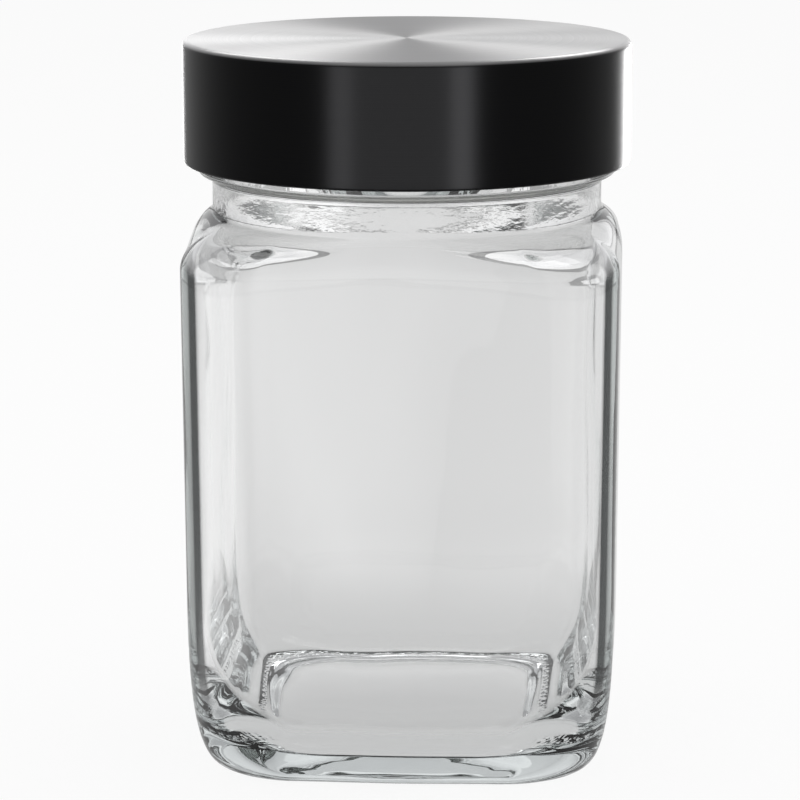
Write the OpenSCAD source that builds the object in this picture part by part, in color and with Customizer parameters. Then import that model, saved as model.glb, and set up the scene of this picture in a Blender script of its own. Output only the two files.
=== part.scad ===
// Square glass storage jar with a two-part screw lid: a drawn metal cap over a threaded inner cap.
// Z is up. The origin is the middle of the face that the jar stands on.

/* [Glass body] */
// Width across the flat sides, just below the shoulder
body_w = 95.8; // [90:0.2:110]
// Distance that each side leans in from the shoulder to the foot
side_draft = 0.8; // [0:0.1:2]
// Distance that the middle of each flat side swells out
side_crown = 0.6; // [0:0.1:1.5]
// Radius of the four upright corners
corner_r = 18; // [12:0.5:24]
// Height from the foot to the top of the shoulder
body_h = 122; // [90:0.5:180]
// Drop of the shoulder, from the neck to the flat sides
shoulder_h = 9; // [7:0.1:14]
// Fullness of the shoulder's curve, 2 for a plain ellipse
shoulder_fullness = 2.2; // [1.8:0.05:3]
// Angle on that curve at which it reaches the neck, 0 for a level ledge all round
shoulder_start = 25; // [0:1:35]
// Height of the curved heel
heel_h = 42; // [25:0.5:50]
// Distance that the heel draws in below the flat sides
heel_in = 9; // [5:0.1:12]
// Fullness of the heel's curve, 2 for a plain ellipse
heel_fullness = 3; // [2:0.1:4]
// Thickness of the glass sides
wall = 3; // [2:0.1:4.5]
// Height of the inside floor over the face that the jar stands on
floor_h = 5.8; // [5:0.1:10]
// Height of the inside heel over the floor
inner_heel_h = 34; // [12:0.5:36]
// Distance that the inside heel draws in from the side
inner_heel_in = 16; // [8:0.1:18]
// Fullness of the inside heel's curve
inner_heel_fullness = 2.2; // [2:0.1:4]
// Width of the flat ring that the jar stands on
foot_w = 5.7; // [3:0.1:9]
// Width of the slope between that ring and the raised panel under the base
panel_slope = 4; // [1:0.1:5]
// Height of the raised panel's edge under the base
panel_h = 3; // [1:0.1:3.5]
// Further rise of the panel and of the floor towards their middle
panel_dome = 0.9; // [0:0.1:1.5]

/* [Glass neck] */
// Inside diameter of the neck and mouth
bore_d = 82; // [70:0.5:90]
// Thickness of the neck below the bead
neck_wall = 2.6; // [2:0.1:4]
// Distance that the hollow curve at the foot of the neck stands out from it
neck_fillet = 0.8; // [0.3:0.05:1.5]
// Height of the bead's underside over the shoulder
bead_up = 8.8; // [5:0.1:14]
// Height of the bead
bead_h = 5; // [3:0.1:7]
// Distance that the bead stands out from the neck
bead_out = 3.3; // [2:0.1:4.5]
// Height from the bead's underside to the lip
finish_h = 27; // [22:0.1:34]
// Thickness of the glass behind the thread
finish_wall = 4.2; // [3:0.1:5.5]
// Rounding of the lip's two edges
lip_r = 1.3; // [0.6:0.1:1.5]

/* [Thread] */
// Number of thread starts
thread_starts = 4; // [2:1:5]
// Rise of the lid in one full turn
thread_lead = 20; // [16:0.5:24]
// Angle that each thread covers, in degrees
thread_span = 100; // [60:5:120]
// Height of a thread's face over the wall that carries it
thread_h = 1.7; // [1:0.1:2.2]
// Thickness of a thread where it leaves the wall
thread_t = 2.4; // [1.6:0.1:2.8]
// Thickness of a thread's crest as a share of its root
thread_crest_share = 0.5; // [0.3:0.05:0.8]
// Distance from the lip down to the upper end of the glass thread
thread_down = 5.7; // [4:0.1:8]
// Clearance between the pulling flanks when the lid is closed
flank_gap = 0.2; // [0.1:0.05:0.5]
// Clearance between a thread's crest and the opposite wall
crest_gap = 0.5; // [0.3:0.05:0.8]

/* [Lid] */
// Thickness of the metal sheet
sheet_t = 0.5; // [0.3:0.05:0.8]
// Outer radius of the metal cap's top edge
cap_edge_r = 1.3; // [0.9:0.1:3]
// Height of the bead that still shows below the closed lid
bead_show = 2.4; // [1:0.1:4]
// Height of the folded hem at the cap's lower edge
hem_h = 2; // [1.5:0.1:3]
// Thickness of the folded hem
hem_t = 1.3; // [1.1:0.05:1.6]
// Thickness of the inner cap's top
plate_t = 1.6; // [1.2:0.1:2.5]
// Thickness of the inner cap's skirt
skirt_t = 1.5; // [1.2:0.1:2.5]
// Height of the ribs between the skirt and the metal
rib_h = 0.5; // [0.3:0.05:1]
// Thickness of one rib
rib_t = 1.2; // [0.8:0.1:2]
// Number of ribs round the skirt
rib_count = 36; // [12:2:60]
// Clearance round the inner cap inside the metal one
cap_fit = 0.1; // [0.05:0.05:0.3]
// Thickness of the seal
seal_t = 0.6; // [0.5:0.1:2]
// Height of the ring that keeps the seal in place
keeper_h = 1.5; // [0.8:0.1:2]
// Thickness of that ring
keeper_t = 1; // [0.8:0.1:1.5]
// Clearance beside the seal, and between that ring and the mouth
keeper_gap = 0.3; // [0.2:0.05:0.6]

/* [Hidden] */

// Steps of the surfaces
side_steps = 12;
corner_steps = 8;
curve_steps = 9;
wall_steps = 3;
floor_steps = 4;
arc_steps = 6;
thread_steps = 26;

// Height of the step where the turned neck grows out of the moulded body
neck_step = neck_wall * 0.06;

// Radii of the neck
bore_r = bore_d / 2;
neck_r = bore_r + neck_wall;
bead_r = neck_r + bead_out;
finish_r = bore_r + finish_wall;
thread_r = finish_r + thread_h;

// Shoulder: the shares of its curve that lie beyond its start, and the circle that it rises to
start_in = pow(sin(shoulder_start), 2 / shoulder_fullness);
start_up = pow(cos(shoulder_start), 2 / shoulder_fullness);
shoulder_r = neck_r + neck_step + neck_fillet;

// Levels of the neck
neck_low = body_h + max([for (p = shoulder_edge(body_h - shoulder_h, 0)) hollow_h(norm(p))]) + neck_step;
bead_z = body_h + bead_up;
lip_z = bead_z + finish_h;
bead_round = bead_h / 4;
bead_under = bead_h / 3;

// Lid, worked outwards and upwards from the glass
skirt_in_r = max(thread_r, bead_r) + crest_gap;
skirt_out_r = skirt_in_r + skirt_t;
plate_r = skirt_out_r + rib_h;
cap_in_r = plate_r + cap_fit;
cap_r = cap_in_r + sheet_t;
plate_z = lip_z + seal_t;
sheet_z = plate_z + plate_t;
lid_top = sheet_z + sheet_t;
lid_low = bead_z + bead_show;
hem_top = lid_low + hem_h;
hem_in_r = cap_r - hem_t;
cap_bend_r = max(cap_edge_r - sheet_t, sheet_t);

// Seal and the ring inside it
keeper_r = bore_r - keeper_gap;
seal_in_r = keeper_r + keeper_gap / 2;
seal_out_r = skirt_in_r - crest_gap;

// Thread: axial distance from the middle of a glass thread down to the lid thread that pulls under it
thread_rise = thread_lead * thread_span / 360;
thread_z = lip_z - thread_down - thread_rise;
thread_embed = thread_h / 3;
flank_reach = thread_t / 2 * (2 - (1 - thread_crest_share) * (1 + crest_gap / thread_h));
lid_thread_drop = flank_reach + flank_gap;

// Foot and panel under the base
foot_half = body_w / 2 - side_draft - heel_in;
panel_half = foot_half - foot_w - panel_slope;

// Plan outline of a rounded square with swelling sides, counter-clockwise from the start of the side at +X
function turned(p, q) = [p.x * cos(90 * q) - p.y * sin(90 * q), p.x * sin(90 * q) + p.y * cos(90 * q)];

function side_points(half, radius, crown) =
    let (flat = half - radius)
    [for (k = [0:side_steps - 1])
        let (t = flat * (2 * k / side_steps - 1))
        [half + crown * pow(cos(90 * t / flat), 2), t]];

function corner_points(half, radius) =
    [for (k = [0:corner_steps - 1])
        let (a = 90 * k / corner_steps)
        [half - radius + radius * cos(a), half - radius + radius * sin(a)]];

function outline(half, radius, crown) =
    let (quarter = concat(side_points(half, radius, crown), corner_points(half, radius)))
    [for (q = [0:3]) for (p = quarter) turned(p, q)];

// One level ring of the rounded square, and one of a circle with points in the same directions
function square_ring(half, radius, crown, z) = [for (p = outline(half, radius, crown)) [p.x, p.y, z]];

function round_ring(r, z) =
    [for (p = outline(body_w / 2, corner_r, side_crown)) [r * p.x / norm(p), r * p.y / norm(p), z]];

// Half width of the straight sides at a height
function side_half(z) = body_w / 2 - side_draft * (1 - z / body_h);

// Rings of a heel that opens from its foot level up to the straight side
function heel_rings(low, height, inset, fullness, thickness, steps) =
    [for (k = [0:steps])
        let (a = 90 * k / steps,
             z = low + height * (1 - pow(cos(a), 2 / fullness)),
             half = side_half(z) - thickness - inset * (1 - pow(sin(a), 2 / fullness)))
        square_ring(half, corner_r - thickness, side_crown, z)];

// Rings of the straight side between two heights, without the two ends
function side_rings(low, high, thickness) =
    [for (k = [1:wall_steps - 1])
        let (z = low + (high - low) * k / wall_steps)
        square_ring(side_half(z) - thickness, corner_r - thickness, side_crown, z)];

// Plan outline at the lower end of a shoulder
function shoulder_edge(low, thickness) =
    outline(side_half(low) - thickness, corner_r - thickness, side_crown);

// Rings of the shoulder, from the straight side up to a circle of radius r at the top
function shoulder_rings(top, r, thickness) =
    let (low = top - shoulder_h)
    [for (k = [0:curve_steps])
        let (a = 90 - (90 - shoulder_start) * k / curve_steps,
             s = (pow(sin(a), 2 / shoulder_fullness) - start_in) / (1 - start_in),
             z = low + shoulder_h * pow(cos(a), 2 / shoulder_fullness) / start_up)
        [for (p = shoulder_edge(low, thickness))
            let (d = norm(p), reach = r + (d - r) * s)
            [p.x * reach / d, p.y * reach / d, z]]];

// Slope at which the outside of the shoulder arrives at the neck, in the direction of an edge point d away
function arrival(d) =
    atan(shoulder_h * (1 - start_in) / start_up / (d - shoulder_r)
        * pow(tan(shoulder_start), 2 - 2 / shoulder_fullness));

// Radius of the hollow curve in that direction, which is tighter at the corners, and its height
function hollow_r(d) = neck_fillet / (1 - sin(arrival(d)));
function hollow_h(d) = hollow_r(d) * cos(arrival(d));

// Rings of the hollow curve from the shoulder up to the neck
function fillet_rings() =
    [for (k = [1:floor_steps])
        [for (p = shoulder_edge(body_h - shoulder_h, 0))
            let (d = norm(p),
                 a = 270 - arrival(d) - (90 - arrival(d)) * k / floor_steps,
                 reach = neck_r + neck_step + hollow_r(d) * (1 + cos(a)))
            [p.x * reach / d, p.y * reach / d, body_h + hollow_h(d) + hollow_r(d) * sin(a)]]];

// Rings of a shallow dome, from near its middle out to its edge
function dome_rings(half, radius, crown, edge_z, last) =
    [for (k = [1:last])
        let (s = k / floor_steps)
        square_ring(half * s, radius * s, crown * s, edge_z + panel_dome * (1 - s * s))];

function reversed(list) = [for (k = [len(list) - 1:-1:0]) list[k]];

// Closed solid through a list of rings, from a middle point under the first to one over the last
module loft(first, rings, last) {
    n = len(rings[0]);
    m = len(rings);
    points = concat([first], [for (ring = rings) each ring], [last]);
    start = [for (j = [0:n - 1]) [0, 1 + j, 1 + (j + 1) % n]];
    skin = [for (i = [0:m - 2]) for (j = [0:n - 1])
        let (a = 1 + i * n + j, b = 1 + i * n + (j + 1) % n)
        each [[a, a + n, b], [b, a + n, b + n]]];
    end = [for (j = [0:n - 1]) [m * n + 1, 1 + (m - 1) * n + (j + 1) % n, 1 + (m - 1) * n + j]];
    polyhedron(points, concat(start, skin, end));
}

// Moulded body: outside from the panel under the base up to the neck, then the inside down to the floor
module moulded_body() {
    inner_top = body_h - wall;
    floor_half = side_half(floor_h) - wall - inner_heel_in;
    outside = concat(
        dome_rings(panel_half, corner_r * panel_half / foot_half, side_crown, panel_h, floor_steps),
        [square_ring(foot_half - foot_w, corner_r * (foot_half - foot_w) / foot_half, side_crown, 0)],
        heel_rings(0, heel_h, heel_in, heel_fullness, 0, curve_steps),
        side_rings(heel_h, body_h - shoulder_h, 0),
        shoulder_rings(body_h, shoulder_r, 0),
        fillet_rings(),
        [round_ring(neck_r + neck_step, neck_low)]);
    inside = concat(
        [round_ring(bore_r, neck_low)],
        reversed(shoulder_rings(inner_top, bore_r, wall)),
        reversed(side_rings(floor_h + inner_heel_h, inner_top - shoulder_h, wall)),
        reversed(heel_rings(floor_h, inner_heel_h, inner_heel_in, inner_heel_fullness, wall, curve_steps)),
        reversed(dome_rings(floor_half, corner_r - wall, side_crown, floor_h, floor_steps - 1)));
    loft([0, 0, panel_h + panel_dome], concat(outside, inside), [0, 0, floor_h + panel_dome]);
}

// Points of an arc in a turned profile
function arc(x, z, r, from, to) =
    [for (k = [0:arc_steps]) let (a = from + (to - from) * k / arc_steps) [x + r * cos(a), z + r * sin(a)]];

// Neck, bead, finish and lip, turned in one piece with a tongue that reaches down into the body
module turned_neck() {
    low = body_h - wall / 2;
    high = bead_z + bead_h;
    rotate_extrude()
        polygon(concat(
            [[bore_r + neck_step, low], [neck_r, low], [neck_r, bead_z - bead_under / 2]],
            [[bead_r - bead_round * 2, bead_z]],
            arc(bead_r - bead_round, bead_z + bead_round, bead_round, -60, 0),
            arc(bead_r - bead_round, high - bead_round, bead_round, 0, 60),
            [[finish_r, high + bead_round]],
            arc(finish_r - lip_r, lip_z - lip_r, lip_r, 0, 90),
            arc(bore_r + neck_step + lip_r, lip_z - lip_r, lip_r, 90, 180)));
}

// One thread: a trapezoid swept along the helix. Its crest sinks into the wall at both ends.
// side is 1 for a thread that stands out of a shaft and -1 for one that stands into a bore.
module thread(wall_r, side, low) {
    half_root = thread_t / 2 * (1 + (1 - thread_crest_share) * thread_embed / thread_h);
    sections = [for (k = [0:thread_steps])
        let (u = k / thread_steps,
             fade = min(1, 6 * u, 6 * (1 - u)),
             angle = thread_span * u,
             z = low + thread_rise * u,
             height = thread_h * fade - thread_embed / 2 * (1 - fade),
             root_r = wall_r - side * thread_embed,
             crest_r = wall_r + side * height,
             half_crest = half_root
                 - thread_t / 2 * (1 - thread_crest_share) * (height + thread_embed) / thread_h)
        [for (p = [[root_r, -half_root], [crest_r, -half_crest], [crest_r, half_crest], [root_r, half_root]])
            [p.x * cos(angle), p.x * sin(angle), z + p.y]]];
    points = [for (section = sections) each section];
    skin = [for (k = [0:thread_steps - 1]) for (j = [0:3])
        let (a = 4 * k + j, b = 4 * k + (j + 1) % 4)
        each side > 0
            ? [[a, b, a + 4], [b, b + 4, a + 4]]
            : [[a, a + 4, b], [b, a + 4, b + 4]]];
    last = 4 * thread_steps;
    ends = side > 0
        ? [[0, 2, 1], [0, 3, 2], [last, last + 1, last + 2], [last, last + 2, last + 3]]
        : [[0, 1, 2], [0, 2, 3], [last, last + 2, last + 1], [last, last + 3, last + 2]];
    polyhedron(points, concat(skin, ends));
}

module threads(wall_r, side, low) {
    for (k = [0:thread_starts - 1])
        rotate([0, 0, 360 * k / thread_starts])
            thread(wall_r, side, low);
}

module glass_jar() {
    color([0.84, 0.9, 0.88, 0.4]) {
        moulded_body();
        turned_neck();
        threads(finish_r, 1, thread_z);
    }
}

// Drawn sheet cap with a rounded top edge and a hem folded inwards
module lid_shell() {
    color([0.28, 0.28, 0.29])
        rotate_extrude()
            polygon(concat(
                [[0, lid_top]],
                arc(cap_r - cap_edge_r, lid_top - cap_edge_r, cap_edge_r, 90, 0),
                arc(cap_r - hem_t / 2, lid_low + hem_t / 2, hem_t / 2, 0, -180),
                [[hem_in_r, hem_top], [cap_in_r, hem_top]],
                arc(cap_in_r - cap_bend_r, sheet_z - cap_bend_r, cap_bend_r, 0, 90),
                [[0, sheet_z]]));
}

// Inner cap: top plate, ribbed skirt with a foot on the hem, thread, and a ring that keeps the seal
module lid_insert() {
    corner = cap_bend_r + cap_fit;
    color([0.9, 0.9, 0.88]) {
        rotate_extrude()
            polygon([
                [0, sheet_z], [plate_r - corner, sheet_z], [plate_r, sheet_z - corner],
                [plate_r, plate_z - plate_t / 2], [skirt_out_r, plate_z - plate_t / 2 - rib_h],
                [skirt_out_r, hem_top + plate_t + rib_h], [plate_r, hem_top + plate_t],
                [plate_r, hem_top], [skirt_in_r, hem_top], [skirt_in_r, plate_z],
                [keeper_r, plate_z], [keeper_r, plate_z - keeper_h],
                [keeper_r - keeper_t, plate_z - keeper_h], [keeper_r - keeper_t, plate_z], [0, plate_z]]);
        threads(skirt_in_r, -1, thread_z - lid_thread_drop);
        for (k = [0:rib_count - 1])
            rotate([0, 0, 360 * k / rib_count])
                translate([skirt_out_r - skirt_t / 3, -rib_t / 2, hem_top + plate_t / 2])
                    cube([rib_h + skirt_t / 3 - cap_fit, rib_t, plate_z - hem_top - plate_t]);
    }
}

// Flat ring between the lip and the inner cap's plate
module lid_seal() {
    color([0.92, 0.92, 0.92])
        translate([0, 0, lip_z])
            difference() {
                cylinder(h = seal_t, r = seal_out_r, $fn = 96);
                translate([0, 0, -seal_t])
                    cylinder(h = seal_t * 3, r = seal_in_r, $fn = 96);
            }
}

glass_jar();
lid_shell();
lid_insert();
lid_seal();
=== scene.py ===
"""Square glass storage jar with a metal-capped screw lid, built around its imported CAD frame.

The jar's sizes are in millimetres, in the CAD's own frame, and MM turns them into metres.
Places and sizes in the studio are in metres.
"""
import math
import bpy
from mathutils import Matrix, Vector, noise


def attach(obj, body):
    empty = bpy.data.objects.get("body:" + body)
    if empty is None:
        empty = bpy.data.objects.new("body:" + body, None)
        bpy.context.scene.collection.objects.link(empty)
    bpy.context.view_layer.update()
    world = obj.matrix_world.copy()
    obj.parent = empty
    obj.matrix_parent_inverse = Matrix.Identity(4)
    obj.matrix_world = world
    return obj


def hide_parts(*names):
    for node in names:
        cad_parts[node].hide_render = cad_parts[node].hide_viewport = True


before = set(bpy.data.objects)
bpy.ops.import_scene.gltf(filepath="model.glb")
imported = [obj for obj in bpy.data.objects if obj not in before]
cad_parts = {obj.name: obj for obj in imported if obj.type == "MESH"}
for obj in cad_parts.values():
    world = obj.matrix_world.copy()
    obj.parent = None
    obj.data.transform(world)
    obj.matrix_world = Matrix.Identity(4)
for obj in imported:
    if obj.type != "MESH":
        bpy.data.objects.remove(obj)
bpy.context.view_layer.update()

MM = 0.001
TAU = 2 * math.pi

# Glass body
BODY_W = 95.8
SIDE_DRAFT = 0.8
SIDE_CROWN = 0.6
CORNER_R = 18
BODY_H = 122
SHOULDER_H = 9
SHOULDER_FULLNESS = 2.2
SHOULDER_START = math.radians(25)
HEEL_H = 42
HEEL_IN = 9
HEEL_FULLNESS = 3
WALL = 3
FLOOR_H = 5.8
INNER_HEEL_H = 34
INNER_HEEL_IN = 16
INNER_HEEL_FULLNESS = 2.2
FOOT_W = 5.7
PANEL_SLOPE = 4
PANEL_H = 3
PANEL_DOME = 0.9
EDGE_R = 0.8
FOOT_HALF = BODY_W / 2 - SIDE_DRAFT - HEEL_IN
PANEL_HALF = FOOT_HALF - FOOT_W - PANEL_SLOPE

# Glass neck and finish
BORE_R = 41
NECK_WALL = 2.6
NECK_R = BORE_R + NECK_WALL
STEP_SHARE = 0.06
NECK_STEP = NECK_WALL * STEP_SHARE
NECK_FILLET = 0.8
BEAD_UP = 8.8
BEAD_Z = BODY_H + BEAD_UP
BEAD_H = 5
BEAD_OUT = 3.3
BEAD_R = NECK_R + BEAD_OUT
FINISH_H = 27
LIP_Z = BEAD_Z + FINISH_H
FINISH_WALL = 4.2
FINISH_R = BORE_R + FINISH_WALL
LIP_R = 1.3

# Thread: each start climbs LEAD in a full turn and covers SPAN degrees
STARTS = 4
LEAD = 20
SPAN = 100
THREAD_H = 1.7
THREAD_T = 2.4
CREST_SHARE = 0.5
RUNOUTS_IN_SPAN = 6
THREAD_DOWN = 5.7
FLANK_GAP = 0.2
CREST_GAP = 0.5
THREAD_RISE = LEAD * SPAN / 360
THREAD_Z = LIP_Z - THREAD_DOWN - THREAD_RISE
LID_THREAD_DROP = THREAD_T / 2 * (2 - (1 - CREST_SHARE) * (1 + CREST_GAP / THREAD_H)) + FLANK_GAP

# Lid
SHEET_T = 0.5
CAP_EDGE_R = 1.3
HEM_H = 2
HEM_T = 1.3
PLATE_T = 1.6
SKIRT_T = 1.5
RIB_H = 0.5
RIB_T = 1.2
RIB_FOOT_SHARE = 1.5
RIB_COUNT = 36
CAP_FIT = 0.1
SEAL_T = 0.6
KEEPER_H = 1.5
KEEPER_T = 1
KEEPER_GAP = 0.3
KEEPER_BEVEL = 0.2
SEAL_ROUND = 0.25
SKIRT_IN_R = BEAD_R + CREST_GAP
SKIRT_OUT_R = SKIRT_IN_R + SKIRT_T
PLATE_R = SKIRT_OUT_R + RIB_H
CAP_IN_R = PLATE_R + CAP_FIT
CAP_R = CAP_IN_R + SHEET_T
PLATE_Z = LIP_Z + SEAL_T
SHEET_Z = PLATE_Z + PLATE_T
LID_TOP = SHEET_Z + SHEET_T
LID_UP = 2.4
LID_LOW = BEAD_Z + LID_UP
HEM_TOP = LID_LOW + HEM_H
KEEPER_R = BORE_R - KEEPER_GAP
SEAL_IN_R = KEEPER_R + KEEPER_GAP / 2
SEAL_OUT_R = SKIRT_IN_R - CREST_GAP

# Points along each side and round each corner of the body's outline
SIDE_STEPS = 60
CORNER_STEPS = 30

# Rings in each stretch of a profile
ARC_STEPS = 8
FINE_ARC_STEPS = 16
EDGE_ARC_STEPS = 12
SEAL_ARC_STEPS = 4
PANEL_STEPS = 8
SLOPE_STEPS = 9
FOOT_STEPS = 5
STIPPLED_STEPS = 2
HEEL_STEPS = 28
BODY_STEPS = 24
SHOULDER_STEPS = 24
NECK_STEPS = 5
THREAD_STEPS = 60
THROAT_STEPS = 26
INSIDE_STEPS = 60
FLOOR_STEPS = 12
SHEET_STEPS = 12
SHEET_SIDE_STEPS = 8
LID_SIDE_STEPS = 16
LID_TOP_STEPS = 40
PLATE_STEPS = 10
SEAT_STEPS = 4
SKIRT_STEPS = 70
BACK_STEPS = 6

# The inside of the glass: how often its rings are evened out, and the waves that are left in it
EVENING_ROUNDS = 60
WAVE_H = 0.25
WAVE_W = 16
WAVE_STRETCH = 2.2
WAVE_SEED = 3.7


def outline(half, radius, crown):
    """Points of a rounded square with swelling sides, counter-clockwise from the side at +X."""
    flat = half - radius
    quarter = []
    for k in range(SIDE_STEPS):
        t = flat * (2 * k / SIDE_STEPS - 1)
        quarter.append((half + crown * math.cos(math.pi / 2 * t / flat) ** 2, t))
    for k in range(CORNER_STEPS):
        a = math.pi / 2 * k / CORNER_STEPS
        quarter.append((flat + radius * math.cos(a), flat + radius * math.sin(a)))
    points = []
    for c, s in ((1, 0), (0, 1), (-1, 0), (0, -1)):
        points += [(x * c - y * s, x * s + y * c) for x, y in quarter]
    return points


BODY_OUTLINE = outline(BODY_W / 2, CORNER_R, SIDE_CROWN)
DIRECTIONS = [(x / math.hypot(x, y), y / math.hypot(x, y)) for x, y in BODY_OUTLINE]


def square_ring(half, radius, crown, z):
    """A level ring of the body's plan, half wide to each side."""
    return [(x, y, z) for x, y in outline(half, radius, crown)]


def round_ring(r, z, bump=None):
    """A level circle, or one that bump moves outwards by its value at each angle in degrees."""
    if bump is None:
        return [(r * x, r * y, z) for x, y in DIRECTIONS]
    ring = []
    for x, y in DIRECTIONS:
        reach = r + bump(math.degrees(math.atan2(y, x)) % 360, z)
        ring.append((reach * x, reach * y, z))
    return ring


def side_half(z):
    """Half the width of the body's outside at a level, with its draft."""
    return BODY_W / 2 - SIDE_DRAFT * (1 - z / BODY_H)


def heel_rings(low, height, inset, fullness, thickness):
    """The superellipse between the level of the foot or floor and the straight side."""
    rings = []
    for k in range(HEEL_STEPS + 1):
        a = math.pi / 2 * k / HEEL_STEPS
        z = low + height * (1 - max(0, math.cos(a)) ** (2 / fullness))
        half = side_half(z) - thickness - inset * (1 - math.sin(a) ** (2 / fullness))
        rings.append(square_ring(half, CORNER_R - thickness, SIDE_CROWN, z))
    return rings


def side_rings(low, high, thickness, steps):
    """The straight side between two levels, without them."""
    rings = []
    for k in range(1, steps):
        z = low + (high - low) * k / steps
        rings.append(square_ring(side_half(z) - thickness, CORNER_R - thickness, SIDE_CROWN, z))
    return rings


def shoulder_rings(r):
    """The shoulder from the side up to a circle of radius r, then the hollow curve up to the neck."""
    low = BODY_H - SHOULDER_H
    edge = outline(side_half(low), CORNER_R, SIDE_CROWN)
    start_in = math.sin(SHOULDER_START) ** (2 / SHOULDER_FULLNESS)
    start_up = math.cos(SHOULDER_START) ** (2 / SHOULDER_FULLNESS)
    steepness = math.tan(SHOULDER_START) ** (2 - 2 / SHOULDER_FULLNESS)
    rings = []
    for k in range(SHOULDER_STEPS + 1):
        a = math.pi / 2 - (math.pi / 2 - SHOULDER_START) * k / SHOULDER_STEPS
        s = (math.sin(a) ** (2 / SHOULDER_FULLNESS) - start_in) / (1 - start_in)
        z = low + SHOULDER_H * max(0, math.cos(a)) ** (2 / SHOULDER_FULLNESS) / start_up
        ring = []
        for x, y in edge:
            d = math.hypot(x, y)
            reach = r + (d - r) * s
            ring.append((x * reach / d, y * reach / d, z))
        rings.append(ring)
    hollow_steps = SHOULDER_STEPS // 2
    for k in range(1, hollow_steps + 1):
        ring = []
        for x, y in edge:
            d = math.hypot(x, y)
            slope = math.atan(SHOULDER_H * (1 - start_in) / start_up / (d - r) * steepness)
            radius = (r - NECK_R) / (1 - math.sin(slope))
            a = math.pi * 1.5 - slope - (math.pi / 2 - slope) * k / hollow_steps
            reach = NECK_R + radius * (1 + math.cos(a))
            ring.append((x * reach / d, y * reach / d, BODY_H + radius * (math.cos(slope) + math.sin(a))))
        rings.append(ring)
    return rings


def inset(rings, depths):
    """Rings moved square to their surface by a depth that each ring has for itself."""
    n = len(rings[0])
    moved = []
    for i, ring in enumerate(rings):
        below, above = rings[max(0, i - 1)], rings[min(len(rings) - 1, i + 1)]
        out = []
        for j in range(n):
            along = Vector(ring[(j + 1) % n]) - Vector(ring[j - 1])
            up = Vector(above[j]) - Vector(below[j])
            out.append(tuple(Vector(ring[j]) - along.cross(up).normalized() * depths[i]))
        moved.append(out)
    return moved


def relaxed(rings):
    """Rings whose profile from one to the next is evened out, with the two end rings kept."""
    for _ in range(EVENING_ROUNDS):
        evened = [rings[0]]
        for below, ring, above in zip(rings, rings[1:], rings[2:]):
            evened.append([
                tuple((a + 2 * b + c) / 4 for a, b, c in zip(*points)) for points in zip(below, ring, above)
            ])
        rings = evened + [rings[-1]]
    return rings


def dome_rings(half, radius, edge_z, steps, last):
    """A shallow dome of the body's plan, from its middle out to ring last of steps."""
    rings = []
    for k in range(1, last + 1):
        s = k / steps
        rings.append(square_ring(half * s, radius * s, SIDE_CROWN * s, edge_z + PANEL_DOME * (1 - s * s)))
    return rings


def arc(x, z, r, start, end, steps=ARC_STEPS):
    """Points of a profile round a centre, between two angles in degrees."""
    points = []
    for k in range(steps + 1):
        a = math.radians(start + (end - start) * k / steps)
        points.append((x + r * math.cos(a), z + r * math.sin(a)))
    return points


def line(x0, z0, x1, z1, steps):
    """Points between two ends of a profile, without the ends."""
    return [(x0 + (x1 - x0) * k / steps, z0 + (z1 - z0) * k / steps) for k in range(1, steps)]


def smooth(t):
    """From 0 at 0 to 1 at 1, level at both."""
    t = min(1, max(0, t))
    return t * t * (3 - 2 * t)


def thread_bump(low):
    """Height of the thread over its wall, as a function of the angle in degrees and the level."""
    root = THREAD_T / 2
    slope = root * (1 - CREST_SHARE)

    def bump(angle, z):
        height = 0
        for k in range(STARTS):
            u = ((angle - 360 * k / STARTS) % 360) / SPAN
            if u > 1:
                continue
            off = abs(z - (low + THREAD_RISE * u))
            runout = smooth(RUNOUTS_IN_SPAN * min(u, 1 - u))
            if off < root:
                height = max(height, THREAD_H * smooth((root - off) / slope) * runout)
        return height

    return bump


def mesh_object(name, rings, first, last, closed=False):
    """A closed skin through rings of equally many points, between two pole points or round in a loop."""
    n = len(rings[0])
    verts = [p for ring in rings for p in ring]
    faces = []
    for i in range(len(rings) - (0 if closed else 1)):
        a, b = i * n, (i + 1) % len(rings) * n
        faces += [(a + j, a + (j + 1) % n, b + (j + 1) % n, b + j) for j in range(n)]
    if not closed:
        low, high = len(verts), len(verts) + 1
        verts += [first, last]
        top = (len(rings) - 1) * n
        faces += [(low, (j + 1) % n, j) for j in range(n)]
        faces += [(high, top + j, top + (j + 1) % n) for j in range(n)]
    mesh = bpy.data.meshes.new(name)
    mesh.from_pydata([(x * MM, y * MM, z * MM) for x, y, z in verts], [], faces)
    mesh.polygons.foreach_set("use_smooth", [True] * len(mesh.polygons))
    mesh.update()
    obj = bpy.data.objects.new(name, mesh)
    bpy.context.scene.collection.objects.link(obj)
    return obj


def wavy(rings):
    """Rings moved a little towards or away from the axis, as blown glass is never quite even inside."""
    moved = []
    for ring in rings:
        out = []
        for x, y, z in ring:
            d = math.hypot(x, y)
            place = Vector((x / WAVE_W + WAVE_SEED, y / WAVE_W, z / (WAVE_W * WAVE_STRETCH)))
            push = WAVE_H * noise.noise(place)
            out.append((x + x / d * push, y + y / d * push, z))
        moved.append(out)
    return moved


def panel_rings():
    """The pushed-up panel under the base, and the slope from it down to the foot ring."""
    panel_r = CORNER_R * PANEL_HALF / FOOT_HALF
    rings = dome_rings(PANEL_HALF - EDGE_R, panel_r, PANEL_H, PANEL_STEPS, PANEL_STEPS)
    for k in range(1, SLOPE_STEPS):
        u = k / SLOPE_STEPS
        half = PANEL_HALF - EDGE_R + (PANEL_SLOPE + 2 * EDGE_R) * u
        rings.append(square_ring(half, CORNER_R * half / FOOT_HALF, SIDE_CROWN, PANEL_H * (1 - smooth(u))))
    return rings


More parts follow.
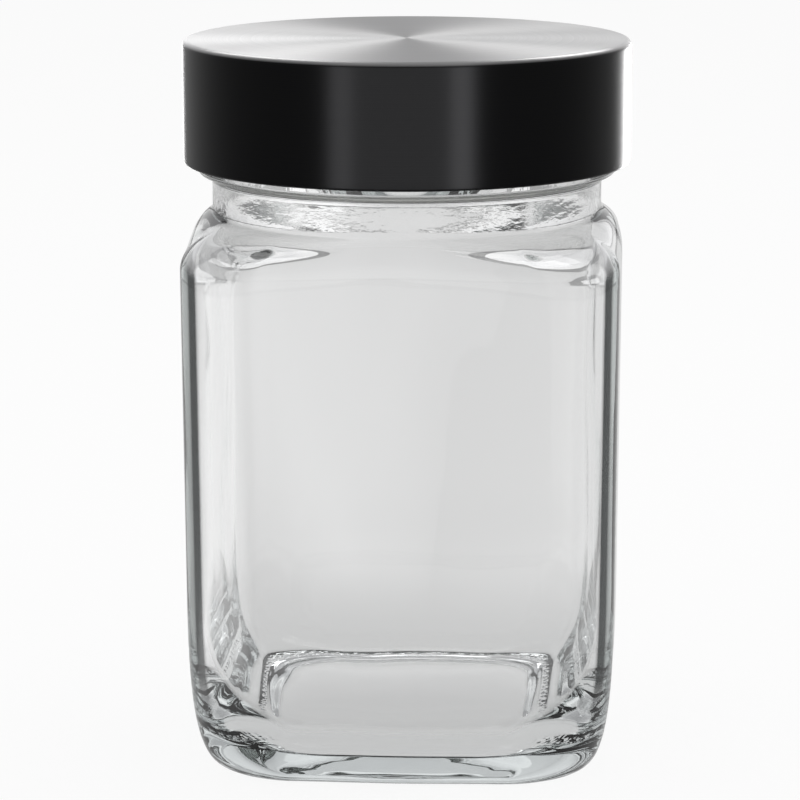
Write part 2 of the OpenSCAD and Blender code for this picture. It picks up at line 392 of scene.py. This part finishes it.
def foot_rings():
    """The flat ring that the jar stands on."""
    rings = []
    for k in range(FOOT_STEPS):
        half = FOOT_HALF - FOOT_W + EDGE_R + (FOOT_W - EDGE_R) * k / FOOT_STEPS
        rings.append(square_ring(half, CORNER_R * half / FOOT_HALF, SIDE_CROWN, 0))
    return rings


def finish_rings(neck_low):
    """The outside of the neck with its bead and thread, and the lip down to the start of the bore."""
    bead_round = BEAD_H / 4
    bead_foot = BEAD_Z - BEAD_H / 6
    low, high = BEAD_Z + BEAD_H + bead_round, LIP_Z - LIP_R
    profile = line(NECK_R, neck_low, NECK_R, bead_foot, NECK_STEPS)
    profile += [(NECK_R, bead_foot), (BEAD_R - bead_round * 2, BEAD_Z)]
    profile += arc(BEAD_R - bead_round, BEAD_Z + bead_round, bead_round, -60, 0)
    profile += arc(BEAD_R - bead_round, BEAD_Z + BEAD_H - bead_round, bead_round, 0, 60)
    profile += [(FINISH_R, low)]
    rings = [round_ring(r, z) for r, z in profile]
    bump = thread_bump(THREAD_Z)
    for k in range(1, THREAD_STEPS):
        rings.append(round_ring(FINISH_R, low + (high - low) * k / THREAD_STEPS, bump))
    lip = arc(FINISH_R - LIP_R, high, LIP_R, 0, 90) + arc(BORE_R + NECK_STEP + LIP_R, high, LIP_R, 90, 180)
    return rings + [round_ring(r, z) for r, z in lip]


def inside_rings(shoulder, neck_low):
    """The inside of the glass, from the bore down to the middle of the floor."""
    last = len(shoulder) - 1
    depths = [WALL + (NECK_WALL - WALL) * smooth(k / last) for k in range(last + 1)]
    floor_half = side_half(FLOOR_H) - WALL - INNER_HEEL_IN
    heel = heel_rings(FLOOR_H, INNER_HEEL_H, INNER_HEEL_IN, INNER_HEEL_FULLNESS, WALL)
    bore_r = BORE_R + NECK_STEP
    throat = [round_ring(r, z) for r, z in line(bore_r, LIP_Z - LIP_R, bore_r, neck_low, THROAT_STEPS)]
    throat += inset(shoulder, depths)[::-1]
    throat += side_rings(FLOOR_H + INNER_HEEL_H, BODY_H - SHOULDER_H, WALL, INSIDE_STEPS)[::-1]
    rings = relaxed(throat) + heel[::-1]
    rings += dome_rings(floor_half, CORNER_R - WALL, FLOOR_H, FLOOR_STEPS, FLOOR_STEPS - 1)[::-1]
    return wavy(rings)


def mark_rings(obj, name, values, first, last):
    """A value for each ring of the mesh, and for its two pole points, that a material can read."""
    points = [value for value in values for _ in DIRECTIONS] + [first, last]
    obj.data.attributes.new(name, "FLOAT", "POINT").data.foreach_set("value", points)


def make_glass():
    """The jar. Its skin runs from the base's middle up the outside and down the inside to the floor."""
    outside = panel_rings() + foot_rings()
    stippled = range(len(outside) - STIPPLED_STEPS, len(outside) + 1)
    outside += heel_rings(0, HEEL_H, HEEL_IN, HEEL_FULLNESS, 0)
    outside += side_rings(HEEL_H, BODY_H - SHOULDER_H, 0, BODY_STEPS)
    shoulder = shoulder_rings(NECK_R + NECK_STEP + NECK_FILLET)
    neck_low = max(z for x, y, z in shoulder[-1])
    outside += shoulder + finish_rings(neck_low)
    inside = inside_rings(shoulder, neck_low)
    bottom, floor = (0, 0, PANEL_H + PANEL_DOME), (0, 0, FLOOR_H + PANEL_DOME)
    jar = mesh_object("jar_glass", outside + inside, bottom, floor)
    mark_rings(jar, "inner", [0.0] * len(outside) + [1.0] * len(inside), 0.0, 1.0)
    mark_rings(jar, "foot", [float(k in stippled) for k in range(len(outside) + len(inside))], 0.0, 0.0)
    return jar


def make_cap():
    """The metal cap. Its skin runs from the underside's middle round the hem to the top's middle."""
    bend = max(CAP_EDGE_R - SHEET_T, SHEET_T)
    hem_r = HEM_T / 2
    profile = line(0, SHEET_Z, CAP_IN_R - bend, SHEET_Z, SHEET_STEPS)
    profile += arc(CAP_IN_R - bend, SHEET_Z - bend, bend, 90, 0)
    profile += line(CAP_IN_R, SHEET_Z - bend, CAP_IN_R, HEM_TOP, SHEET_SIDE_STEPS)
    profile += [(CAP_IN_R, HEM_TOP), (CAP_R - HEM_T, HEM_TOP)]
    profile += arc(CAP_R - hem_r, LID_LOW + hem_r, hem_r, -180, 0, FINE_ARC_STEPS)
    profile += line(CAP_R, LID_LOW + hem_r, CAP_R, LID_TOP - CAP_EDGE_R, LID_SIDE_STEPS)
    profile += arc(CAP_R - CAP_EDGE_R, LID_TOP - CAP_EDGE_R, CAP_EDGE_R, 0, 90, EDGE_ARC_STEPS)
    profile += line(CAP_R - CAP_EDGE_R, LID_TOP, 0, LID_TOP, LID_TOP_STEPS)
    rings = [round_ring(r, z) for r, z in profile]
    return mesh_object("lid_cap", rings, (0, 0, SHEET_Z), (0, 0, LID_TOP))


def make_insert():
    """The inner cap. Its skin runs from the underside's middle round the skirt to the top's middle."""
    bend = max(CAP_EDGE_R - SHEET_T, SHEET_T) + CAP_FIT
    bump = thread_bump(THREAD_Z - LID_THREAD_DROP)

    def inward(angle, z):
        return -bump(angle, z)

    def rib(angle, z):
        step = 360 / RIB_COUNT
        off = abs((angle + step / 2) % step - step / 2)
        width = math.degrees(RIB_T / 2 / SKIRT_OUT_R)
        return (RIB_H - CAP_FIT) * smooth((width * RIB_FOOT_SHARE - off) / width)

    keeper_in, keeper_low = KEEPER_R - KEEPER_T, PLATE_Z - KEEPER_H
    profile = line(0, PLATE_Z, keeper_in, PLATE_Z, PLATE_STEPS)
    profile += [(keeper_in, PLATE_Z), (keeper_in, keeper_low + KEEPER_BEVEL)]
    profile += [(keeper_in + KEEPER_BEVEL, keeper_low), (KEEPER_R - KEEPER_BEVEL, keeper_low)]
    profile += [(KEEPER_R, keeper_low + KEEPER_BEVEL), (KEEPER_R, PLATE_Z)]
    profile += line(KEEPER_R, PLATE_Z, SKIRT_IN_R, PLATE_Z, SEAT_STEPS)
    rings = [round_ring(r, z) for r, z in profile]
    for k in range(SKIRT_STEPS + 1):
        z = PLATE_Z + (HEM_TOP - PLATE_Z) * k / SKIRT_STEPS
        rings.append(round_ring(SKIRT_IN_R, z, inward))
    rings += [round_ring(PLATE_R, HEM_TOP), round_ring(PLATE_R, HEM_TOP + PLATE_T)]
    rings.append(round_ring(SKIRT_OUT_R, HEM_TOP + PLATE_T + RIB_H, rib))
    rings.append(round_ring(SKIRT_OUT_R, PLATE_Z - PLATE_T / 2 - RIB_H, rib))
    rings += [round_ring(PLATE_R, PLATE_Z - PLATE_T / 2), round_ring(PLATE_R, SHEET_Z - bend)]
    rings += [round_ring(PLATE_R - bend, SHEET_Z)]
    rings += [round_ring(r, z) for r, z in line(PLATE_R - bend, SHEET_Z, 0, SHEET_Z, BACK_STEPS)]
    return mesh_object("lid_inner_cap", rings, (0, 0, PLATE_Z), (0, 0, SHEET_Z))


def make_seal():
    """The seal, a flat ring with rounded edges."""
    inner, outer = SEAL_IN_R + SEAL_ROUND, SEAL_OUT_R - SEAL_ROUND
    low, high = LIP_Z + SEAL_ROUND, PLATE_Z - SEAL_ROUND
    profile = arc(inner, low, SEAL_ROUND, 180, 270, SEAL_ARC_STEPS)
    profile += arc(outer, low, SEAL_ROUND, 270, 360, SEAL_ARC_STEPS)
    profile += arc(outer, high, SEAL_ROUND, 0, 90, SEAL_ARC_STEPS)
    profile += arc(inner, high, SEAL_ROUND, 90, 180, SEAL_ARC_STEPS)
    return mesh_object("lid_seal_ring", [round_ring(r, z) for r, z in profile], None, None, closed=True)


# The glass: its colour by how steeply it is seen, from 0 for square on to 1 for along the face; the
# near-black band and paler rim near the edge are painted shade, standing in for dark surroundings seen
# through the glass
CLEAR = (0.97, 0.97, 0.97)
PAINTED_DARK_BAND = (0.004, 0.005, 0.005)
PAINTED_PALE_RIM = (0.34, 0.38, 0.37)
PAINTED_EDGE_SHADE = (
    (0.0, CLEAR), (0.4, CLEAR),
    (0.45, PAINTED_DARK_BAND), (0.57, PAINTED_DARK_BAND),
    (0.63, PAINTED_PALE_RIM), (1.0, PAINTED_PALE_RIM),
)
SHADOW_TINT = (0.93, 0.95, 0.94, 1)
DEPTH_TINT = (0.4, 0.52, 0.51, 1)

# Between which levels the painted dark edges of the glass fade out at its top and bottom, and how far
TOP_FADE = (BODY_H - SHOULDER_H, BODY_H - SHOULDER_H / 3)
BOTTOM_FADE = (24, 8)
FADE_SHARE = 0.9

# Chill marks inside the neck
CHILL_LOW = BODY_H - 2
CHILL_HIGH = BODY_H + 8
CHILL_FADE = 3
CHILL_FLATNESS = 2.2

# The metal: its brushing in lines a metre, and how far under the top its painted dark side ends and its
# bright begins
BRUSHING = 9000.0
PAINTED_SHADE_BELOW = 0.9
BRIGHT_ABOVE = 0.25
STEEL = ((0.45, 0.447, 0.443), (0.55, 0.547, 0.543))
# Painted shade: the side is the same steel as the top, coloured near black to stand in for the dark
# surroundings it mirrors
PAINTED_SHADE_STEEL = ((0.010, 0.010, 0.0105), (0.016, 0.016, 0.0165))

# Plastic, foam and floor, each from its darker to its lighter shade
OFF_WHITE = ((0.84, 0.835, 0.81), (0.88, 0.875, 0.855))
FOAM = ((0.80, 0.80, 0.79), (0.90, 0.90, 0.89))
PAPER = ((0.86, 0.86, 0.86), (0.88, 0.88, 0.88))

# Brightness of the background, for the camera and for the rays that light things from all round
WHITE = 0.975
AMBIENT = 0.6

# The floor: its brightness in mirrors and glass, and how much of it stays even whatever the lamps do
FLOOR_MIRRORED = 0.3
FLOOR_EVEN_SHARE = 0.9

# The sky that mirrored and transmitted rays see, by height from 0 at the horizon to 1 straight up
SKY = (
    (0.0, (1.0, 1.0, 1.0)),
    (0.12, (0.95, 0.95, 0.96)),
    (0.42, (0.5, 0.5, 0.51)),
    (1.0, (0.32, 0.32, 0.33)),
)

# Darker cards low at both sides: how far aside they fade in, what they leave of the sky, and their top
CARD_INNER = 0.4
CARD_OUTER = 0.6
CARD_LEVEL = 0.5
CARD_TOP = (0.08, 0.22)

# The glowing table: its greatest strength, that for rays through the glass, and that under the jar
GLOW = 3.2
GLOW_THROUGH_GLASS = 0.85
GLOW_UNDER_JAR = 0.3

# How far from the jar's axis the glow starts to rise and is full, in millimetres
GLOW_NEAR = 60
GLOW_FAR = 160

# Its strength round the jar: 0 and 1 are behind the jar, 0.25 at its left, 0.5 before it, 0.75 at its right
GLOW_ROUND = (
    (0.0, 0.38), (0.025, 0.46), (0.06, 0.36), (0.12, 0.26), (0.2, 0.26), (0.24, 0.6),
    (0.29, GLOW), (0.395, GLOW),
    (0.44, 0.5), (0.6, 0.5), (0.66, 0.65), (0.73, 0.65),
    (0.8, 0.32), (0.88, 0.3), (0.92, 0.46), (0.955, 0.42), (1.0, 0.36),
)

# Half the width of the floor and of the glowing table, and their levels
FLOOR_REACH = 12
FLOOR_Z = -0.0002
GLOW_REACH = 2
GLOW_Z = -0.0001

# Lamps: name, place, target, width, height and watts
LAMP_Z = 0.075
LAMP_H = 0.15
LOW_AIM = (0, 0, LAMP_Z)
HIGH_AIM = (0, 0, 0.16)
OVERHEAD = ("overhead", (0.1, 0.2, 1.3), (0, 0, 0.08), 1.0, 1.0, 6)
CAP_LAMPS = (
    ("front", (0, -0.6, LAMP_Z), LOW_AIM, 0.5, LAMP_H, 1.3),
    ("front_left", (-0.29, -0.525, LAMP_Z), LOW_AIM, 0.12, LAMP_H, 0.7),
    ("front_right", (0.3, -0.525, LAMP_Z), LOW_AIM, 0.12, LAMP_H, 0.95),
    ("back_right", (0.18, 0.38, LAMP_Z), (0.05, 0, LAMP_Z), 0.15, LAMP_H, 0.7),
    ("back_left", (-0.15, 0.386, LAMP_Z), (-0.05, 0, LAMP_Z), 0.06, LAMP_H, 0.12),
    ("low_back", (-0.19, 0.9, 0.25), HIGH_AIM, 0.2, 0.18, 0.08),
    ("high_left", (-0.33, 0.89, 0.9), HIGH_AIM, 0.35, 0.5, 1.8),
    ("high_right", (0.33, 0.89, 0.9), HIGH_AIM, 0.35, 0.5, 2.2),
)

# Camera, fitted to the photo: lens and sensor in millimetres, angles in degrees
LENS = 158.41
SENSOR_W = 36
CLIP_START = 0.02
CLIP_END = 60
CAMERA_PLACE = (0.0414, -0.7824, 0.2425)
LOOK_DOWN = 11.85
ROLL = 0.08
LOOK_LEFT = 3.13

# Light that passes all the faces of the jar needs many bounces
BOUNCES = 24


class Tree:
    """Short names for making and linking the nodes of one material or world."""

    def __init__(self, owner):
        owner.use_nodes = True
        self.tree = owner.node_tree
        self.tree.nodes.clear()

    def add(self, kind, settings=None, **values):
        """A node with its settings, and with values or links on the inputs that are named."""
        node = self.tree.nodes.new(kind)
        for key, value in (settings or {}).items():
            setattr(node, key, value)
        for key, value in values.items():
            self.put(node.inputs[key.replace("_", " ")], value)
        return node

    def put(self, socket, value):
        if isinstance(value, bpy.types.NodeSocket):
            self.tree.links.new(value, socket)
        else:
            socket.default_value = value

    def math(self, operation, a, b=0.0):
        node = self.tree.nodes.new("ShaderNodeMath")
        node.operation = operation
        self.put(node.inputs[0], a)
        self.put(node.inputs[1], b)
        return node.outputs[0]

    def length(self, x, y):
        return self.math("SQRT", self.math("ADD", self.math("MULTIPLY", x, x), self.math("MULTIPLY", y, y)))

    def change(self, value, start, end, low=0.0, high=1.0, shape="LINEAR"):
        """The value low up to start and high from end on, and an even or smooth change between."""
        node = self.add("ShaderNodeMapRange", {"interpolation_type": shape}, Value=value)
        self.put(node.inputs["From Min"], start)
        self.put(node.inputs["From Max"], end)
        self.put(node.inputs["To Min"], low)
        self.put(node.inputs["To Max"], high)
        return node.outputs[0]

    def fade(self, value, start, end):
        """0 before start and 1 after end, both in millimetres, with start above end for a fall."""
        low, high = (0.0, 1.0) if start < end else (1.0, 0.0)
        return self.change(value, min(start, end) * MM, max(start, end) * MM, low, high, "SMOOTHSTEP")

    def ramp(self, factor, stops):
        node = self.tree.nodes.new("ShaderNodeValToRGB")
        elements = node.color_ramp.elements
        while len(elements) < len(stops):
            elements.new(0.5)
        for element, (place, colour) in zip(elements, stops):
            element.position = place
            element.color = (*colour, 1)
        self.put(node.inputs[0], factor)
        return node.outputs[0]

    def mottle(self, value, shades, start=0.3, end=0.7):
        """From the first shade to the second over the values that a noise texture mostly has."""
        return self.ramp(value, [(start, shades[0]), (end, shades[1])])

    def mix_colours(self, factor, first, second):
        node = self.add("ShaderNodeMix", {"data_type": "RGBA"})
        self.put(node.inputs["Factor"], factor)
        self.put(node.inputs[6], first)
        self.put(node.inputs[7], second)
        return node.outputs[2]

    def mix_shaders(self, factor, first, second):
        node = self.add("ShaderNodeMixShader")
        for socket, value in zip(node.inputs, (factor, first.outputs[0], second.outputs[0])):
            self.put(socket, value)
        return node.outputs[0]


def material(name):
    mat = bpy.data.materials.new(name)
    return mat, Tree(mat)


def glass_material():
    """Clear glass with painted dark edges standing in for shade seen through it, chilled inside the neck
    and stippled on the foot ring.
    """
    mat, t = material("jar_glass")
    coords = t.add("ShaderNodeTexCoord").outputs["Object"]
    level = t.add("ShaderNodeSeparateXYZ", Vector=coords).outputs[2]
    inner = t.add("ShaderNodeAttribute", {"attribute_name": "inner"}).outputs["Fac"]
    ripple = t.add("ShaderNodeTexNoise", Vector=coords, Scale=70.0, Detail=1.0)
    even = t.add("ShaderNodeBump", Strength=0.12, Distance=0.0003, Height=ripple.outputs[0])
    flat = t.add("ShaderNodeMapping", Vector=coords)
    flat.inputs["Scale"].default_value = (1, 1, CHILL_FLATNESS)
    chill = t.add("ShaderNodeTexNoise", Vector=flat.outputs[0], Scale=360.0, Detail=3.0)
    above = t.fade(level, CHILL_LOW, CHILL_LOW + CHILL_FADE)
    below = t.fade(level, CHILL_HIGH, CHILL_HIGH - CHILL_FADE)
    neck = t.math("MULTIPLY", above, below)
    marks = t.math("MULTIPLY", chill.outputs[0], t.math("MULTIPLY", neck, inner))
    bump = t.add("ShaderNodeBump", Strength=0.18, Distance=0.0004, Height=marks, Normal=even.outputs[0])
    dots = t.add("ShaderNodeTexVoronoi", {"voronoi_dimensions": "2D"}, Vector=coords, Scale=480.0)
    foot = t.add("ShaderNodeAttribute", {"attribute_name": "foot"}).outputs["Fac"]
    stipple = t.math("MULTIPLY", t.math("MULTIPLY", dots.outputs["Distance"], -1.0), foot)
    bump = t.add("ShaderNodeBump", Strength=0.8, Distance=0.0005, Height=stipple, Normal=bump.outputs[0])
    # Painted shade: the outer face's colour turns near black, then pale grey, as it is seen more steeply,
    # as dark surroundings look through the glass's edges
    facing = t.add("ShaderNodeLayerWeight", Blend=0.5, Normal=even.outputs[0]).outputs["Facing"]
    edges = t.ramp(facing, PAINTED_EDGE_SHADE)
    ends = t.math("MAXIMUM", t.fade(level, *TOP_FADE), t.fade(level, *BOTTOM_FADE))
    plain = t.math("MAXIMUM", inner, t.math("MULTIPLY", ends, FADE_SHARE))
    tint_with_painted_edges = t.mix_colours(plain, edges, (*CLEAR, 1))
    surface = t.add(
        "ShaderNodeBsdfPrincipled", Base_Color=tint_with_painted_edges, Roughness=0.0, IOR=1.5, Normal=bump.outputs[0],
        Transmission_Weight=1,
    )
    film = t.add("ShaderNodeBsdfTransparent", Color=SHADOW_TINT)
    shadow = t.add("ShaderNodeLightPath").outputs["Is Shadow Ray"]
    depth = t.add("ShaderNodeVolumeAbsorption", Color=DEPTH_TINT, Density=4.5)
    both = t.mix_shaders(shadow, surface, film)
    t.add("ShaderNodeOutputMaterial", Surface=both, Volume=depth.outputs[0])
    return mat


def metal_material():
    """Steel that is brushed in circles on the top and round the side, where its colour is painted near
    black as shade of the dark surroundings it mirrors.
    """
    mat, t = material("lid_metal")
    coords = t.add("ShaderNodeTexCoord").outputs["Object"]
    x, y, z = t.add("ShaderNodeSeparateXYZ", Vector=coords).outputs
    across = t.math("MULTIPLY", t.length(x, y), BRUSHING)
    along = t.math("MULTIPLY", z, BRUSHING)
    grain_place = t.add("ShaderNodeCombineXYZ", X=across, Y=along)
    grain = t.add("ShaderNodeTexNoise", Vector=grain_place.outputs[0], Scale=1.0, Detail=3.0)
    # Painted shade: below the top's edge the steel takes the near-black colour
    bright = t.change(z, (LID_TOP - PAINTED_SHADE_BELOW) * MM, (LID_TOP - BRIGHT_ABOVE) * MM)
    dark, steel = t.mottle(grain.outputs[0], PAINTED_SHADE_STEEL), t.mottle(grain.outputs[0], STEEL)
    bump = t.add("ShaderNodeBump", Strength=0.15, Distance=0.00002, Height=grain.outputs[0])
    tangent = t.add("ShaderNodeTangent", {"direction_type": "RADIAL", "axis": "Z"})
    surface = t.add(
        "ShaderNodeBsdfPrincipled", Base_Color=t.mix_colours(bright, dark, steel), Metallic=1.0,
        Roughness=0.34, Normal=bump.outputs[0], Tangent=tangent.outputs[0], Anisotropic=0.85,
        Anisotropic_Rotation=0.25,
    )
    t.add("ShaderNodeOutputMaterial", Surface=surface.outputs[0])
    return mat


def plastic_material():
    """Moulded plastic with faint flow marks and a fine grain."""
    mat, t = material("lid_plastic")
    coords = t.add("ShaderNodeTexCoord").outputs["Object"]
    flow = t.add("ShaderNodeTexNoise", Vector=coords, Scale=60.0, Detail=3.0)
    colour = t.mottle(flow.outputs[0], OFF_WHITE)
    fine = t.add("ShaderNodeTexNoise", Vector=coords, Scale=1800.0, Detail=2.0)
    bump = t.add("ShaderNodeBump", Strength=0.2, Distance=0.00005, Height=fine.outputs[0])
    surface = t.add("ShaderNodeBsdfPrincipled", Base_Color=colour, Roughness=0.42, Normal=bump.outputs[0])
    t.add("ShaderNodeOutputMaterial", Surface=surface.outputs[0])
    return mat


def seal_material():
    """Soft foam with fine cells."""
    mat, t = material("seal_foam")
    coords = t.add("ShaderNodeTexCoord").outputs["Object"]
    cells = t.add("ShaderNodeTexVoronoi", Vector=coords, Scale=2500.0)
    colour = t.mottle(cells.outputs[0], FOAM, start=0.0, end=0.6)
    bump = t.add("ShaderNodeBump", Strength=0.3, Distance=0.00008, Height=cells.outputs[0])
    surface = t.add("ShaderNodeBsdfPrincipled", Base_Color=colour, Roughness=0.8, Normal=bump.outputs[0])
    t.add("ShaderNodeOutputMaterial", Surface=surface.outputs[0])
    return mat


def background_rays(t):
    """1 for the camera's own rays, and 1 for those that come by a mirror or through glass."""
    path = t.add("ShaderNodeLightPath")
    mirrored = t.math("MAXIMUM", path.outputs["Is Glossy Ray"], path.outputs["Is Transmission Ray"])
    return path.outputs["Is Camera Ray"], mirrored


def floor_material():
    """White paper that looks almost even to the camera, and grey in mirrors and glass."""
    mat, t = material("floor")
    coords = t.add("ShaderNodeTexCoord").outputs["Object"]
    mottle = t.add("ShaderNodeTexNoise", Vector=coords, Scale=6.0, Detail=2.0)
    lit = t.add("ShaderNodeBsdfDiffuse", Color=t.mottle(mottle.outputs[0], PAPER))
    direct, mirrored = background_rays(t)
    pale = t.math("MAXIMUM", direct, t.math("MULTIPLY", mirrored, FLOOR_MIRRORED))
    even = t.add("ShaderNodeEmission", Strength=pale)
    share = t.math("MULTIPLY", t.math("MAXIMUM", direct, mirrored), FLOOR_EVEN_SHARE)
    t.add("ShaderNodeOutputMaterial", Surface=t.mix_shaders(share, lit, even))
    return mat


def glow_material():
    """Light from a table that glows round the jar, most in a soft card at the left of its front."""
    mat, t = material("table_glow")
    coords = t.add("ShaderNodeTexCoord").outputs["Object"]
    x, y = t.add("ShaderNodeSeparateXYZ", Vector=coords).outputs[:2]
    turn = t.math("ADD", t.math("DIVIDE", t.math("ARCTAN2", x, t.math("MULTIPLY", y, -1.0)), TAU), 0.5)
    shares = t.ramp(turn, [(place, (strength / GLOW,) * 3) for place, strength in GLOW_ROUND])
    through = t.add("ShaderNodeLightPath").outputs["Is Transmission Ray"]
    most = t.math("SUBTRACT", GLOW, t.math("MULTIPLY", through, GLOW - GLOW_THROUGH_GLASS))
    level = t.math("MINIMUM", t.math("MULTIPLY", shares, GLOW), most)
    far = t.fade(t.length(x, y), GLOW_NEAR, GLOW_FAR)
    under = t.math("MULTIPLY", t.math("SUBTRACT", 1.0, far), GLOW_UNDER_JAR)
    light = t.add("ShaderNodeEmission", Strength=t.math("ADD", t.math("MULTIPLY", far, level), under))
    both = t.add("ShaderNodeAddShader")
    t.put(both.inputs[0], t.add("ShaderNodeBsdfTransparent").outputs[0])
    t.put(both.inputs[1], light.outputs[0])
    t.add("ShaderNodeOutputMaterial", Surface=both.outputs[0])
    return mat


def make_world():
    """A white room for the camera, and a grey sky over a white horizon in mirrors and glass."""
    world = bpy.data.worlds.new("studio")
    bpy.context.scene.world = world
    t = Tree(world)
    direction = t.add("ShaderNodeTexCoord").outputs["Generated"]
    x, _, z = t.add("ShaderNodeSeparateXYZ", Vector=direction).outputs
    height = t.math("MAXIMUM", z, 0.0)
    cards = t.change(t.math("ABSOLUTE", x), CARD_INNER, CARD_OUTER, 1.0, CARD_LEVEL, "SMOOTHSTEP")
    sky = t.add("ShaderNodeVectorMath", {"operation": "SCALE"})
    t.put(sky.inputs[0], t.ramp(height, SKY))
    t.put(sky.inputs["Scale"], t.math("MAXIMUM", cards, t.change(height, *CARD_TOP)))
    direct, mirrored = background_rays(t)
    level = t.math("ADD", t.math("MULTIPLY", direct, WHITE - AMBIENT), AMBIENT)
    plain = t.add("ShaderNodeCombineColor", Red=level, Green=level, Blue=level)
    colour = t.mix_colours(mirrored, plain.outputs[0], sky.outputs[0])
    back = t.add("ShaderNodeBackground", Color=colour, Strength=1.0)
    t.add("ShaderNodeOutputWorld", Surface=back.outputs[0])


def light_only(source, name, objects):
    """Links a source of light to these objects, so that it lights no others."""
    lit = bpy.data.collections.new(name)
    for obj in objects:
        lit.objects.link(obj)
    source.light_linking.receiver_collection = lit


def soft_light(name, place, target, width, height, watts, objects):
    """An area lamp that lights these objects alone."""
    lamp = bpy.data.lights.new(name, "AREA")
    lamp.shape = "RECTANGLE"
    lamp.size, lamp.size_y = width, height
    lamp.energy = watts
    obj = bpy.data.objects.new(name, lamp)
    bpy.context.scene.collection.objects.link(obj)
    obj.location = place
    obj.rotation_euler = (Vector(target) - Vector(place)).to_track_quat("-Z", "Y").to_euler()
    obj.visible_camera = False
    light_only(obj, name, objects)


def plane(name, reach, level, mat):
    """A flat square that belongs to the studio."""
    corners = [(-reach, -reach, 0), (reach, -reach, 0), (reach, reach, 0), (-reach, reach, 0)]
    mesh = bpy.data.meshes.new(name)
    mesh.from_pydata(corners, [], [(0, 1, 2, 3)])
    mesh.materials.append(mat)
    obj = bpy.data.objects.new(name, mesh)
    obj.location.z = level
    bpy.context.scene.collection.objects.link(obj)
    return obj


def make_stage(jar, cap, inner_cap, seal):
    floor = plane("floor", FLOOR_REACH, FLOOR_Z, floor_material())
    glow = plane("table_glow", GLOW_REACH, GLOW_Z, glow_material())
    glow.visible_camera = glow.visible_diffuse = glow.visible_shadow = False
    light_only(glow, "glow", [jar])
    soft_light(*OVERHEAD, [jar, inner_cap, seal, floor])
    for lamp in CAP_LAMPS:
        soft_light(*lamp, [cap])


def make_camera():
    data = bpy.data.cameras.new("camera")
    data.lens = LENS
    data.sensor_width = SENSOR_W
    data.clip_start, data.clip_end = CLIP_START, CLIP_END
    camera = bpy.data.objects.new("camera", data)
    camera.location = CAMERA_PLACE
    camera.rotation_euler = (math.radians(90 - LOOK_DOWN), math.radians(ROLL), math.radians(LOOK_LEFT))
    bpy.context.scene.collection.objects.link(camera)
    bpy.context.scene.camera = camera


def dress(obj, mat, body, node):
    """Gives a mesh its material and body, and puts it in the CAD node's place."""
    obj.data.materials.append(mat)
    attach(obj, body)
    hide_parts(node)
    node_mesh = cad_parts[node].data
    node_mesh.materials.clear()
    node_mesh.materials.append(mat)


jar, cap, inner_cap, seal = make_glass(), make_cap(), make_insert(), make_seal()
dress(jar, glass_material(), "jar", "glass_jar")
dress(cap, metal_material(), "lid", "lid_shell")
dress(inner_cap, plastic_material(), "lid", "lid_insert")
dress(seal, seal_material(), "seal", "lid_seal")
make_camera()
make_world()
make_stage(jar, cap, inner_cap, seal)

scene = bpy.context.scene
scene.view_settings.view_transform = "Standard"
scene.cycles.max_bounces = BOUNCES
scene.cycles.transmission_bounces = BOUNCES
scene.cycles.glossy_bounces = BOUNCES // 2
scene.cycles.transparent_max_bounces = BOUNCES
